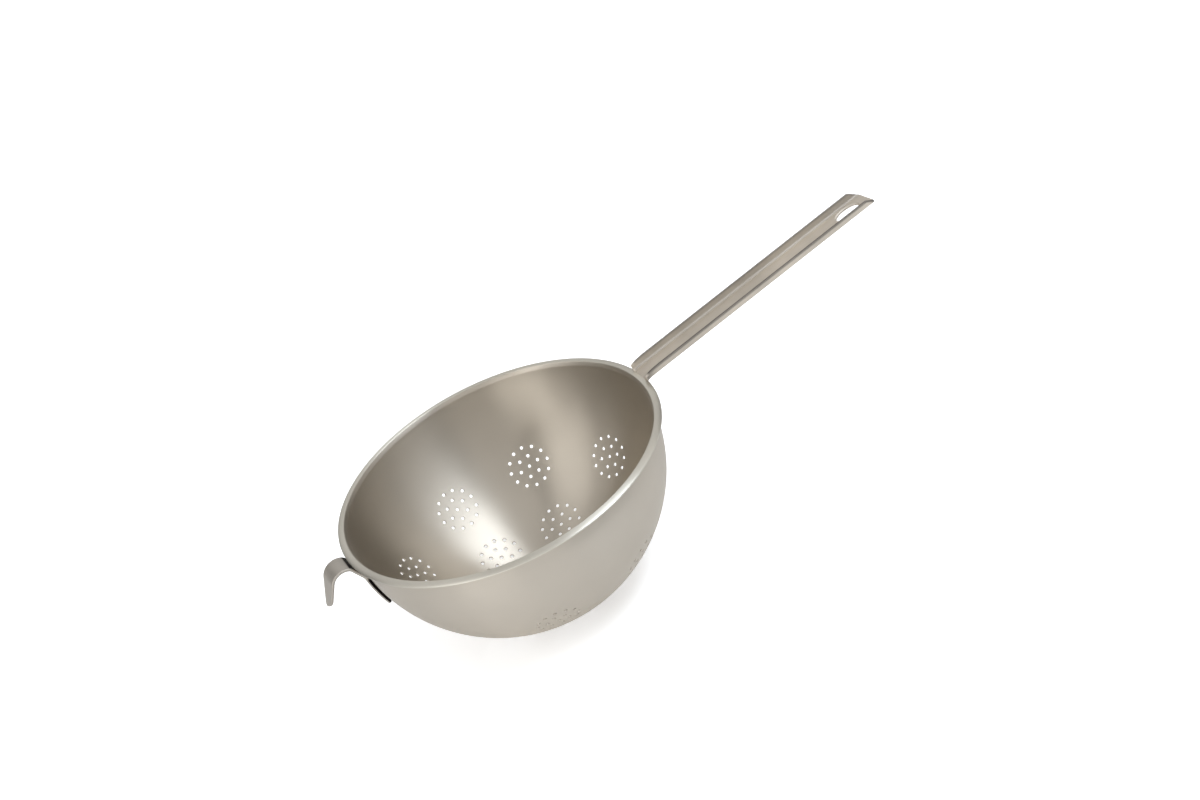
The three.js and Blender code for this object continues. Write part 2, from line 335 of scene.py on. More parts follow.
BUFFING = 0.8 * MM  # width over which the polish of the lip sets in
BOWL_TONES = (0.93, 1.07)  # shares of the colour between which the clouds vary
SMEAR_SHARE = 0.4  # part of the fine smears in these clouds
MARK_ROUGHENING = 0.05
BOWL_ROUGHENING = 0.06
MARK_HEIGHT = 0.35
BOWL_RELIEF = {"Strength": 0.12, "Distance": 0.2 * MM}
AROUND_AXIS = 0.25  # a quarter turn, which lays the brushing around the axis


def spun_steel(finishes, bowl):
    """Satin steel with spinning marks in rings around the bowl's axis, and a buffed lip."""
    material, tree = new_material("spun_steel")
    place = tree.add("ShaderNodeTexCoord").output("Object")
    x = tree.add("ShaderNodeSeparateXYZ", None, {0: place})
    y, z = x.output("Y"), x.output("Z")
    reach = (x * x + y * y).math("SQRT")
    polar = reach.math("ARCTAN2", bowl.equator - z)
    arc = polar * (bowl.radius / MM)
    marks = noise(tree, "marks", W=arc)
    bands = noise(tree, "bands", W=arc)
    clouds = noise(tree, "bowl_clouds", Vector=place)
    smears = noise(tree, "smears", Vector=place)
    tone = clouds * (1 - SMEAR_SHARE) + smears * SMEAR_SHARE
    base = tree.mix(tone, *(opaque(finishes.bowl, gain) for gain in BOWL_TONES))
    buffed = ((reach - bowl.radius) / BUFFING).math("MAXIMUM", 0.0).math("MINIMUM", 1.0)
    base = tree.mix(buffed, base, opaque(finishes.lip))
    rough = finishes.bowl_roughness + (marks - NOISE_MEAN) * MARK_ROUGHENING
    rough = rough + (clouds - NOISE_MEAN) * BOWL_ROUGHENING
    close_steel(tree, base, rough, BOWL_RELIEF, marks * MARK_HEIGHT + bands, {
        "Anisotropic": finishes.bowl_grain, "Anisotropic Rotation": AROUND_AXIS})
    return material


ALONG_X, ALONG_Y, ALONG_Z = range(3)
GRAIN_ACROSS = 900.0
GRAIN_ALONG = 25.0
STRIP_TONES = (0.84, 1.14)  # shares of the colour between which clouds, stains and grain vary
CLOUD_TONE = 0.8
STAIN_TONE = 1.9
GRAIN_TONE = 0.5
GRAIN_ROUGHENING = 0.12
CLOUD_ROUGHENING = 0.14
CLOUD_HEIGHT = 0.5
STRIP_RELIEF = {"Strength": 0.2, "Distance": 0.1 * MM}


def strip_steel(name, rgb, roughness, along, soot_and_shade):
    """Satin strip with fine grain drawn out along one axis, cloudy stains, dark marks and painted shade.
    """
    material, tree = new_material(name)
    place = tree.add("ShaderNodeTexCoord").output("Object")
    stretch = [GRAIN_ACROSS] * 3
    stretch[along] = GRAIN_ALONG
    drawn = tree.add("ShaderNodeMapping", None, {"Vector": place, "Scale": tuple(stretch)})
    grain = noise(tree, "grain", Vector=drawn)
    clouds = noise(tree, "strip_clouds", Vector=place)
    stains = noise(tree, "stains", Vector=place)
    tone = NOISE_MEAN + (clouds - NOISE_MEAN) * CLOUD_TONE + (NOISE_MEAN - stains) * STAIN_TONE
    tone = tone + (grain - NOISE_MEAN) * GRAIN_TONE
    base = tree.mix(tone, *(opaque(rgb, gain) for gain in STRIP_TONES))
    # dark marks and painted shade from the attribute, mixed towards the soot colour
    marks = tree.add("ShaderNodeAttribute", {"attribute_name": MARKS_AND_SHADE}).output("Fac")
    base = tree.mix(marks, base, opaque(soot_and_shade))
    rough = roughness + (grain - NOISE_MEAN) * GRAIN_ROUGHENING
    rough = rough + (clouds - NOISE_MEAN) * CLOUD_ROUGHENING
    close_steel(tree, base, rough, STRIP_RELIEF, grain + clouds * CLOUD_HEIGHT)
    return material


WHITE = (1.0, 1.0, 1.0)
SEEN_LIFT = 0.52  # what the lit floor lacks to white
MIRRORED_LIFT = 0.13


def floor_paint(rgb):
    """Matt floor that keeps shadows, lifted to white where it is seen and a little where mirrored."""
    material, tree = new_material("studio_floor")
    path = tree.add("ShaderNodeLightPath")
    seen = path.output("Is Camera Ray") * SEEN_LIFT
    mirrored = path.output("Is Glossy Ray").math("MAXIMUM", path.output("Is Transmission Ray"))
    lift = seen + mirrored * MIRRORED_LIFT
    matt = tree.add("ShaderNodeBsdfDiffuse", None, {"Color": opaque(rgb)})
    glow = tree.add("ShaderNodeEmission", None, {"Color": opaque(WHITE), "Strength": lift})
    close_material(tree, tree.add("ShaderNodeAddShader", None, {0: matt, 1: glow}))
    return material


def new_piece(name, mesh, material):
    piece = bpy.data.objects.new(name, mesh)
    bpy.context.scene.collection.objects.link(piece)
    mesh.materials.clear()
    mesh.materials.append(material)
    return piece


def plain_mesh(mesh, name):
    """Turns a bmesh into a mesh and frees it."""
    result = bpy.data.meshes.new(name)
    mesh.to_mesh(result)
    mesh.free()
    return result


def smooth_mesh(mesh, name):
    for face in mesh.faces:
        face.smooth = True
    return plain_mesh(mesh, name)


def bake_modifiers(piece):
    """Turns a piece with modifiers into a plain mesh."""
    graph = bpy.context.evaluated_depsgraph_get()
    mesh = bpy.data.meshes.new_from_object(piece.evaluated_get(graph))
    piece.modifiers.clear()
    old, piece.data = piece.data, mesh
    mesh.name = piece.name
    bpy.data.meshes.remove(old)
    return mesh


def join_root(piece, node):
    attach(piece, "root")
    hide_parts(node)


def arc_points(centre, radius, start, end, steps):
    """Points of an arc in the plane of [radius, height], both ends included."""
    turns = np.linspace(start, end, steps + 1)
    return [(centre[0] + radius * math.cos(t), centre[1] + radius * math.sin(t)) for t in turns]


WALL_ROWS = 56
LIP_ROWS = 8
LIP_EASE = 1.25  # power by which the wall widens below the lip
EDGE_ROWS = 6
FILLET_ROWS = 8
BOWL_SEGMENTS = 180


def wall_face(bowl, offset):
    """Section of one face of the sheet from the base's rim up to the equator."""
    fillet = bowl.base_fillet
    reach = bowl.radius - fillet
    middle = math.sqrt(reach ** 2 - (bowl.equator - fillet) ** 2)
    polar = math.atan2(middle, bowl.equator - fillet)
    start = polar - math.pi / 2
    bend = arc_points((middle, fillet), fillet - offset, -math.pi / 2, start, FILLET_ROWS)
    wall = arc_points((0.0, bowl.equator), bowl.radius - offset, start, 0.0, WALL_ROWS)
    return bend + wall[1:]


def lip_face(bowl):
    """Section of the lip's upper face: the wall widens, bends out and falls gently to the edge."""
    inner = bowl.radius - bowl.sheet
    crown = bowl.equator + bowl.lip_level
    rise = LIP_EASE * bowl.lip_flare / math.tan(bowl.lip_lean)
    turn = crown - bowl.lip_bend * (1 - math.sin(bowl.lip_lean)) - rise
    steps = np.linspace(0.0, 1.0, LIP_ROWS)
    face = [(inner + bowl.lip_flare * t ** LIP_EASE, turn + rise * t) for t in steps]
    centre = (face[-1][0] + bowl.lip_bend * math.cos(bowl.lip_lean), crown - bowl.lip_bend)
    face += arc_points(centre, bowl.lip_bend, math.pi - bowl.lip_lean, math.pi / 2, LIP_ROWS)[1:]
    low = bowl.equator + bowl.lip_edge
    reach = bowl.lip - centre[0]
    return face + [(centre[0] + reach * math.sin(t), low + (crown - low) * math.cos(t))
                   for t in np.linspace(0.0, math.pi / 2, LIP_ROWS)[1:]]


def bowl_section(bowl):
    """Closed section of the bowl from the axis outside to the axis inside."""
    upper = np.array(lip_face(bowl))
    along = np.gradient(upper, axis=0)
    along[0] = (0.0, 1.0)
    along[-1] = (0.0, -1.0)
    along /= np.linalg.norm(along, axis=1)[:, None]
    under = upper + bowl.sheet * np.column_stack([along[:, 1], -along[:, 0]])
    middle = (under[-1] + upper[-1]) / 2
    edge = arc_points(middle, bowl.sheet / 2, -math.pi, 0.0, EDGE_ROWS)[1:-1]
    return [(0.0, 0.0), *wall_face(bowl, 0.0), *under, *edge, *upper[::-1],
            *reversed(wall_face(bowl, bowl.sheet)), (0.0, bowl.sheet)]


def turned_mesh(name, section, segments):
    """Body of revolution about Z; the section starts and ends on the axis."""
    mesh = bmesh.new()
    turns = [2 * math.pi * j / segments for j in range(segments)]
    rings = [[mesh.verts.new((r * math.cos(t), r * math.sin(t), z)) for t in turns]
             for r, z in section[1:-1]]
    first = mesh.verts.new((0.0, 0.0, section[0][1]))
    last = mesh.verts.new((0.0, 0.0, section[-1][1]))
    for j in range(segments):
        k = (j + 1) % segments
        mesh.faces.new((first, rings[0][k], rings[0][j]))
        mesh.faces.new((last, rings[-1][j], rings[-1][k]))
        for low, high in zip(rings, rings[1:]):
            mesh.faces.new((low[j], low[k], high[k], high[j]))
    return smooth_mesh(mesh, name)


HOLE_SIDES = 20
INNER_HOLES = 6
OUTER_HOLES = 12
PUNCH_INPUTS = (
    ("Hole", "hole"), ("Easing", "hole_easing"), ("Sheet", "sheet"), ("Radius", "radius"),
    ("Equator", "equator"), ("Inner ring", "inner_ring"), ("Outer ring", "outer_ring"),
    ("Rosette turn", "rosette_turn"), ("Upper polar", "upper_polar"), ("Upper lean", "upper_lean"),
    ("Upper towards", "upper_towards"), ("Lower count", "lower_count"),
    ("Lower polar", "lower_polar"), ("Lower start", "lower_start"),
)
UPPER_INPUTS = tuple(f"Upper turn {number + 1}" for number in range(len(UPPER_TURNS)))


def punch_shape(tree, hole, easing, sheet):
    """A round punch, centred in the sheet, that flares at both faces to ease the hole's edges."""
    radius = hole / 2
    flare = easing * 2
    depth = sheet - flare
    shape = tree.add("GeometryNodeMeshCylinder", {"fill_type": "NGON"},
                     {"Vertices": HOLE_SIDES, "Side Segments": 1, "Radius": radius, "Depth": depth})
    ends = shape.output("Top").math("MAXIMUM", shape.output("Bottom"))
    longer = tree.add("GeometryNodeExtrudeMesh", {"mode": "FACES"},
                      {"Mesh": shape, "Selection": ends, "Offset Scale": flare, "Individual": True})
    return tree.add("GeometryNodeScaleElements", {"domain": "FACE"},
                    {"Geometry": longer, "Selection": longer.output("Top"), "Scale": 1 + flare / radius})


def hole_ring(tree, count, radius, turn):
    ring = tree.add("GeometryNodeMeshCircle", {"fill_type": "NONE"},
                    {"Vertices": count, "Radius": radius})
    ring = tree.add("GeometryNodeMeshToPoints", None, {"Mesh": ring})
    spin = tree.add("FunctionNodeAxisAngleToRotation", None,
                    {"Axis": (0.0, 0.0, 1.0), "Angle": turn})
    return tree.add("GeometryNodeTransform", None, {"Geometry": ring, "Rotation": spin})


def on_sphere(tree, points, radius):
    """Lays flat points onto the bottom of a sphere, at the same distance from its middle."""
    flat = tree.add("ShaderNodeSeparateXYZ", None, {0: tree.add("GeometryNodeInputPosition")})
    u, v = flat, flat.output("Y")
    arc = (u * u + v * v).math("SQRT")
    bow = arc / radius
    reach = bow.math("SINE") * radius / arc
    place = tree.vector(u * reach, v * reach, bow.math("COSINE") * radius * -1)
    return tree.add("GeometryNodeSetPosition", None, {"Geometry": points, "Position": place})


def rosette_ring(tree, rosette, count, polar, azimuth, equator):
    """Turned copies of the bottom's rosette around the axis, all about the sphere's centre."""
    places = tree.add("GeometryNodePoints", None,
                      {"Count": count, "Position": tree.vector(0.0, 0.0, equator)})
    turn = tree.vector(0.0, polar * -1, azimuth)
    turn = tree.add("FunctionNodeEulerToRotation", None, {"Euler": turn})
    return tree.add("GeometryNodeInstanceOnPoints", None,
                    {"Points": places, "Instance": rosette, "Rotation": turn})


def join(tree, *parts):
    return tree.add("GeometryNodeJoinGeometry", None, {"Geometry": list(reversed(parts))})


def rosette_tree(material):
    """Geometry Nodes that punch the rosettes of holes into the bowl's wall and base."""
    group = bpy.data.node_groups.new("punched_rosettes", "GeometryNodeTree")
    sockets = {}
    group.interface.new_socket("Bowl", in_out="INPUT", socket_type="NodeSocketGeometry")
    for label in (*(label for label, _ in PUNCH_INPUTS), *UPPER_INPUTS):
        kind = "NodeSocketInt" if label.endswith("count") else "NodeSocketFloat"
        sockets[label] = group.interface.new_socket(label, in_out="INPUT", socket_type=kind)
    group.interface.new_socket("Punched bowl", in_out="OUTPUT", socket_type="NodeSocketGeometry")
    tree = Tree(group)
    given = tree.add("NodeGroupInput")
    size = {label: given.output(label) for label in sockets}

    punch = punch_shape(tree, size["Hole"], size["Easing"], size["Sheet"])
    turn = size["Rosette turn"]
    rings = join(tree, hole_ring(tree, INNER_HOLES, size["Inner ring"], turn),
                 hole_ring(tree, OUTER_HOLES, size["Outer ring"], turn + math.pi / OUTER_HOLES))
    middle = tree.add("GeometryNodePoints", None, {"Count": 1})
    bent = on_sphere(tree, join(tree, rings, middle), size["Radius"] - size["Sheet"] / 2)
    outward = tree.add("FunctionNodeAlignRotationToVector", {"axis": "Z"},
                       {"Vector": tree.add("GeometryNodeInputPosition")})
    rosette = tree.add("GeometryNodeInstanceOnPoints", None,
                       {"Points": bent, "Instance": punch, "Rotation": outward})
    rosette = tree.add("GeometryNodeRealizeInstances", None, {"Geometry": rosette})
    index = tree.add("GeometryNodeInputIndex")
    turns = tree.pick(index, [size[label] for label in UPPER_INPUTS])
    polar = size["Upper polar"] + size["Upper lean"] * (turns - size["Upper towards"]).math("COSINE")
    upper = rosette_ring(tree, rosette, len(UPPER_INPUTS), polar, turns, size["Equator"])
    turns = size["Lower start"] + index * (2 * math.pi / size["Lower count"])
    lower = rosette_ring(tree, rosette, size["Lower count"], size["Lower polar"], turns,
                         size["Equator"])
    base = tree.add("GeometryNodeInstanceOnPoints", None, {"Points": rings, "Instance": punch})
    base = tree.add("GeometryNodeTransform", None,
                    {"Geometry": base, "Translation": tree.vector(0.0, 0.0, size["Sheet"] / 2)})
    punches = join(tree, upper, lower, base)
    punches = tree.add("GeometryNodeRealizeInstances", None, {"Geometry": punches})
    cut = tree.add("GeometryNodeMeshBoolean", {"operation": "DIFFERENCE", "solver": "MANIFOLD"},
                   {"Mesh 1": given, "Mesh 2": punches})
    smooth = tree.add("GeometryNodeSetShadeSmooth", None, {"Geometry": cut})
    plain = tree.add("GeometryNodeRealizeInstances", None, {"Geometry": smooth})
    dressed = tree.add("GeometryNodeSetMaterial", None, {"Geometry": plain, "Material": material})
    tree.add("NodeGroupOutput", None, {0: dressed})
    return group, sockets


CREASE = math.radians(25)
WALL_TOLERANCE = 0.04 * MM
WALL_COSINE = math.cos(math.radians(6))  # normals that lean further belong to a hole's edge


def true_wall_normals(mesh, bowl):
    """Gives the wall the sphere's own normals, so that the punched facets stay out of the shine."""
    mesh.set_sharp_from_angle(angle=CREASE)
    corners = np.empty(len(mesh.loops) * 3, np.float32)
    mesh.corner_normals.foreach_get("vector", corners)
    corners = corners.reshape(-1, 3)
    points = np.empty(len(mesh.vertices) * 3, np.float32)
    mesh.vertices.foreach_get("co", points)
    radial = points.reshape(-1, 3) - (0.0, 0.0, bowl.equator)
    far = np.linalg.norm(radial, axis=1)
    radial /= far[:, None]
    below = radial[:, 2] < 0.0
    outside = below & (np.abs(far - bowl.radius) < WALL_TOLERANCE)
    inside = below & (np.abs(far - bowl.radius + bowl.sheet) < WALL_TOLERANCE)
    of_corner = np.empty(len(mesh.loops), np.int32)
    mesh.loops.foreach_get("vertex_index", of_corner)
    lean = np.einsum("ij,ij->i", corners, radial[of_corner])
    out = outside[of_corner] & (lean > WALL_COSINE)
    inn = inside[of_corner] & (lean < -WALL_COSINE)
    corners[out] = radial[of_corner][out]
    corners[inn] = -radial[of_corner][inn]
    mesh.normals_split_custom_set(corners.tolist())


class COLANDER_OT_bowl(bpy.types.Operator):
    """Turn the bowl with its lip and punch the rosettes"""

    bl_idname = "colander.bowl"
    bl_label = "Spun bowl"

    def execute(self, context):
        bowl = context.scene.colander_bowl
        steel = spun_steel(context.scene.colander_finishes, bowl)
        mesh = turned_mesh("spun_bowl", bowl_section(bowl), BOWL_SEGMENTS)
        piece = new_piece("spun_bowl", mesh, steel)
        group, sockets = rosette_tree(steel)
        punching = piece.modifiers.new("Rosettes", "NODES")
        punching.node_group = group
        for label, key in PUNCH_INPUTS:
            punching[sockets[label].identifier] = getattr(bowl, key)
        for label, turn in zip(UPPER_INPUTS, bowl.upper_turns):
            punching[sockets[label].identifier] = turn
        true_wall_normals(bake_modifiers(piece), bowl)
        join_root(piece, "bowl")
        return {"FINISHED"}


RIM_STEPS = 8
RIM_TURNS = [math.pi * step / RIM_STEPS for step in range(1, RIM_STEPS)]


def rim_directions(mesh):
    """For each vertex on an edge of the sheet, the direction that points out of the sheet."""
    outward = {}
    for edge in mesh.edges:
        if edge.is_boundary:
            face = edge.link_faces[0]
            first, last = (vert.co for vert in edge.verts)
            out = (last - first).cross(face.normal).normalized()
            if out.dot((first + last) / 2 - face.calc_center_median()) < 0:
                out.negate()
            for vert in edge.verts:
                outward[vert] = outward.get(vert, Vector()) + out
    return {vert: out.normalized() for vert, out in outward.items()}


def thick_sheet(mesh, name, thickness, bulge, mark):
    """Thickens a sheet's middle surface into a solid with rounded edges and true normals.

    The rule mark(place, lean, at_edge, cut) gives how dark each point is painted, for dark marks and for
    painted shade.
    """
    bmesh.ops.recalc_face_normals(mesh, faces=mesh.faces)
    mesh.normal_update()
    outward = rim_directions(mesh)
    solid = bmesh.new()
    normals = []
    marks = []

    def layer(verts, turn):
        copies = {}
        for vert in verts:
            out = outward.get(vert, Vector())
            lean = vert.normal * math.cos(turn) + out * math.sin(turn)
            offset = vert.normal * (thickness / 2 * math.cos(turn)) + out * (bulge * math.sin(turn))
            copies[vert] = solid.verts.new(vert.co + offset)
            normals.append(lean)
            marks.append(mark(vert.co, lean, vert in outward, math.sin(turn)))
        return copies

    upper = layer(mesh.verts, 0.0)
    lower = layer(mesh.verts, math.pi)
    rims = [upper, *(layer(outward, turn) for turn in RIM_TURNS), lower]
    for face in mesh.faces:
        solid.faces.new([upper[vert] for vert in face.verts])
        solid.faces.new([lower[vert] for vert in reversed(face.verts)])
        for loop in face.loops:
            if loop.edge.is_boundary:
                first, last = loop.vert, loop.link_loop_next.vert
                for high, low in zip(rims, rims[1:]):
                    solid.faces.new((high[last], high[first], low[first], low[last]))
    mesh.free()
    result = smooth_mesh(solid, name)
    result.normals_split_custom_set_from_vertices(normals)
    result.attributes.new(MARKS_AND_SHADE, "FLOAT", "POINT").data.foreach_set("value", marks)
    return result


def grid_faces(mesh, rows, skip=lambda i, j: False):
    """Smooth quads between rows of vertices, apart from those to skip."""
    for i in range(len(rows) - 1):
        for j in range(len(rows[i]) - 1):
            if not skip(i, j):
                low, high = rows[i], rows[i + 1]
                mesh.faces.new((low[j], high[j], high[j + 1], low[j + 1])).smooth = True


BEND_ROWS = 8
FLOOR_ROWS = 10
PATCH_ROWS = 12
COLLAR_ROWS = 5
ROOT_ROWS = 7
PLAIN_ROWS = 12
END_ROWS = 6
SIDE_STEPS = (1.0, 0.6, 0.3)
END_CURVE = 1.45  # power by which the end's corners set back
PATCH_BEFORE = 3.5 * MM  # margin of the patch around the hanging hole, towards the bowl
PATCH_AFTER = 2.0 * MM  # and towards the end
RISE_GAP = 6.0 * MM  # step after the root's rows
PATCH_GAP = 8.0 * MM  # step before the patch


def run_along(line):
    """Distance of each point along a line of points."""
    return np.concatenate([[0.0], np.cumsum(np.linalg.norm(np.diff(line, axis=0), axis=1))])


def channel_line(handle, half):
    """Middle line of the section between the turned-up edges, as [across, height]."""
    bend = handle.bend + handle.sheet / 2
    lean = handle.opening
    run = (handle.depth - handle.bend * (1 - math.sin(lean))) / math.cos(lean)
    flat = half - handle.sheet / 2 * math.cos(lean) - run * math.sin(lean) - bend * math.cos(lean)
    corner = arc_points((flat, handle.bend), bend, -lean, -math.pi / 2, BEND_ROWS)
    first = Vector(corner[0])
    upwards = Vector((math.sin(lean), math.cos(lean)))
    side = [tuple(first + upwards * run * t) for t in SIDE_STEPS]
    floor = [(y, handle.bend - bend) for y in np.linspace(flat, -flat, FLOOR_ROWS + 1)[1:-1]]
    side += corner
    return side + floor + [(-y, z) for y, z in reversed(side)]


ROOT_RISE = 0.85  # share of their height that the turned-up edges have at the root
ROOT_CLEAN = -0.2 * MM  # where the marks begin, from the lip's edge, and the scorch is darkest
ROOT_DIP = 0.45 * MM
ROOT_EASE = 4.0 * MM  # length over which the root dips to the lip
ROOT_SCORCH = 7.0 * MM
SCORCH = 0.55
# darkness of the painted shade in the bends of the channel
CORNER_SHADE = 0.5
CORNER_LEAN = 0.58  # sideways lean of the normal where the painted shade in a bend is darkest
CORNER_SPREAD = 0.42
CUT_SIDES = 0.6  # how dark a cut edge is towards its faces, as a share of its middle
BEND_MARGIN = 0.4 * MM
UPPER_FACE = 0.05  # least upward lean of the normal on the upper face
LOWER_FACE = -0.5  # least upward lean of the normal on the outside of the bends


def root_place(handle, bowl, y, z):
    """Place along the handle at which a point of its section ends on the lip."""
    edge = math.sqrt((bowl.lip - handle.overlap) ** 2 - y ** 2) - bowl.lip
    return (edge + z * math.sin(handle.incline)) / math.cos(handle.incline)


def risen(handle, x, z):
    """Height of a point of the section where the turned-up edges still rise from the root."""
    floor = -handle.sheet / 2
    done = min(max(x / handle.rise, 0.0), 1.0)
    return floor + (z - floor) * (ROOT_RISE + (1 - ROOT_RISE) * math.sin(done * math.pi / 2))


def end_insets(handle, line):
    """How far the blank's rounded corners set back the end, for each point of the section."""
    run = run_along(line)
    over = np.maximum(handle.corner - np.minimum(run, run[-1] - run), 0.0)
    return handle.corner * (over / handle.corner) ** END_CURVE


def handle_marks_and_shade(handle, bowl, cut_dark):
    """Rule for the handle's dark marks and painted shade: raw cut edges, painted shade in the bends,
    scorch at the root.
    """
    inner = HANDLE_HIGH.y - handle.sheet - handle.bend - BEND_MARGIN

    def mark(place, lean, at_edge, cut):
        if abs(place.y) < inner:
            return 0.0
        past = place.x - bowl.lip
        scorch = SCORCH * max(1 - abs(past - ROOT_CLEAN) / ROOT_SCORCH, 0.0)
        if at_edge:
            raw = cut_dark * (CUT_SIDES + (1 - CUT_SIDES) * cut)
            return max(raw, scorch) if past > ROOT_CLEAN else 0.0
        # painted shade in the inner bends of the channel
        if lean.z > UPPER_FACE:
            return CORNER_SHADE * max(1 - abs(abs(lean.y) - CORNER_LEAN) / CORNER_SPREAD, 0.0)
        return scorch if lean.z > LOWER_FACE else 0.0

    return mark


def channel_mesh(handle, bowl, cut_dark):
    """The handle: a channel with raw edges and a hanging hole whose rim is drawn down."""
    middle = handle.length - handle.hole_margin - handle.hole_length / 2
    span = (middle - handle.hole_length / 2 - PATCH_BEFORE,
            middle + handle.hole_length / 2 + PATCH_AFTER)
    plain = [-handle.overlap, *np.linspace(0.0, handle.rise, ROOT_ROWS),
             *np.linspace(handle.rise + RISE_GAP, span[0] - PATCH_GAP, PLAIN_ROWS)]
    stations = [*plain, *np.linspace(*span, PATCH_ROWS + 1),
                *np.linspace(span[1], handle.length, END_ROWS)[1:]]
    mesh = bmesh.new()
    line = channel_line(handle, HANDLE_HIGH.y)
    insets = end_insets(handle, line)
    slant = math.tan(handle.skew)
    rows = []
    for i, x in enumerate(stations):
        late = max(x - span[0], 0.0) / (handle.length - span[0])
        dip = ROOT_DIP * max(1 - x / ROOT_EASE, 0.0) ** 2
        section = [(y, risen(handle, x, z) - dip) for y, z in line]
        rows.append([(x - late * (inset + y * slant) if i else root_place(handle, bowl, y, z), y, z)
                     for (y, z), inset in zip(section, insets)])
    low, high = len(plain), len(plain) + PATCH_ROWS
    left = (len(rows[0]) - FLOOR_ROWS - 1) // 2
    right = left + FLOOR_ROWS
    verts = [[None if low < i < high and left < j < right else mesh.verts.new(place)
              for j, place in enumerate(row)] for i, row in enumerate(rows)]
    grid_faces(mesh, verts, lambda i, j: low <= i < high and left <= j < right)
    loop = [verts[i][left] for i in range(low, high)]
    loop += [verts[high][j] for j in range(left, right)]
    loop += [verts[i][right] for i in range(high, low, -1)]
    loop += [verts[low][j] for j in range(right, left, -1)]
    hole_rings(mesh, loop, handle, middle)
    placing = Matrix.Translation((bowl.lip, 0.0, bowl.equator + handle.floor))
    mesh.transform(placing @ Matrix.Rotation(-handle.incline, 4, "Y"))
    marks = handle_marks_and_shade(handle, bowl, cut_dark)
    return thick_sheet(mesh, "channel_handle", handle.sheet, handle.easing, marks)


def hole_rings(mesh, loop, handle, middle):
    """Closes the floor around the hanging hole, with a collar that turns down into it."""
    level = loop[0].co.z
    radius = handle.collar
    wall = handle.sheet / 2
    semi = (handle.hole_length / 2 + wall, handle.hole_width / 2 + wall)
    turns = [math.atan2(vert.co.y / semi[1], (vert.co.x - middle) / semi[0]) for vert in loop]
    previous = loop
    for turn in np.linspace(0.0, math.pi / 2, COLLAR_ROWS + 1):
        grow = radius * (1 - math.sin(turn))
        drop = radius * (1 - math.cos(turn))
        ring = [mesh.verts.new((middle + (semi[0] + grow) * math.cos(t),
                                (semi[1] + grow) * math.sin(t), level - drop)) for t in turns]
        grid_faces(mesh, [[*previous, previous[0]], [*ring, ring[0]]])
        previous = ring


class COLANDER_OT_handle(bpy.types.Operator):
    """Press the channel handle with its hanging hole"""

    bl_idname = "colander.handle"
    bl_label = "Channel handle"

    def execute(self, context):
        scene = context.scene
        handle = scene.colander_handle
        finishes = scene.colander_finishes
        steel = strip_steel("handle_steel", finishes.strip, finishes.strip_roughness, ALONG_X,
                            finishes.soot_and_shade)
        mesh = channel_mesh(handle, scene.colander_bowl, finishes.cut)
        piece = new_piece("channel_handle", mesh, steel)
        join_root(piece, "handle")
        return {"FINISHED"}


FOOT_ROWS = 14
KNEE_ROWS = 6
SHOULDER_ROWS = 8
ARCH_ROWS = 24
LEG_ROWS = 8
HOOK_COLUMNS = 6
CORNER_STEPS = (0.0, 0.06, 0.22, 0.48, 0.76, 1.0)
CORNER_CLEAR = 1.05  # no other row lies nearer to an end than this share of a corner
ON_RIM = 0.01  # points of the rim lean out of the sheet by more than this
RIM_LEAN = -0.2  # least lean towards the bowl of the foot's rim, which is painted dark as shade
SHADE_LEAN = 0.47  # lean towards the bowl at which the shaded face begins
SHADE_SPREAD = 0.12


def bend_on(line, radius, start, end, steps):
    """Bends a line of points onwards from one slope to another, turning down."""
    centre = Vector(line[-1]) + radius * Vector((math.sin(start), -math.cos(start)))
    return line + arc_points(centre, radius, start + math.pi / 2, end + math.pi / 2, steps)[1:]


def hook_line(hook, bowl):
    """Middle line of the hook's strip in the plane of [radius, height above the equator]."""
    wall = bowl.radius + hook.seat + hook.sheet / 2
    top = math.asin(hook.foot_top / wall)
    line = arc_points((0.0, 0.0), wall, -top - hook.foot / wall, -top, FOOT_ROWS)
    line = bend_on(line, hook.knee, math.pi / 2 - top, hook.rise, KNEE_ROWS)
    arch_height = hook.crest - hook.arch * (1 - math.cos(hook.slope))
    height = arch_height - hook.shoulder * (math.cos(hook.slope) - math.cos(hook.rise))
    radius, low = line[-1]
    line.append((radius + (height - low) / math.tan(hook.rise), height))
    line = bend_on(line, hook.shoulder, hook.rise, hook.slope, SHOULDER_ROWS)
    line = bend_on(line, hook.arch, hook.slope, hook.flare - math.pi / 2, ARCH_ROWS)
    leg = Vector((math.sin(hook.flare), -math.cos(hook.flare)))
    start = Vector(line[-1])
    return line + [tuple(start + leg * hook.leg * t)
                   for t in np.linspace(0.0, 1.0, LEG_ROWS + 1)[1:]]


def along_line(line, distances):
    """Points at given distances along a line of points."""
    points = np.array(line)
    run = run_along(line)
    return [(np.interp(d, run, points[:, 0]), np.interp(d, run, points[:, 1])) for d in distances]


def hook_shade(hook, bowl):
    """Rule for the hook's painted shade: the foot's rim on the wall and the face towards the bowl under
    the lip are painted dark as shade.
    """

    def mark(place, lean, at_edge, cut):
        if cut > ON_RIM:
            # the foot's rim on the wall is painted black as the shade in the gap between foot and wall
            on_wall = -place.x < bowl.lip and place.z < bowl.equator - hook.foot_top
            return float(on_wall and lean.x > RIM_LEAN)
        # painted shade on the face that looks towards the bowl under the lip
        return min(max((lean.x - SHADE_LEAN) / SHADE_SPREAD, 0.0), 1.0)

    return mark


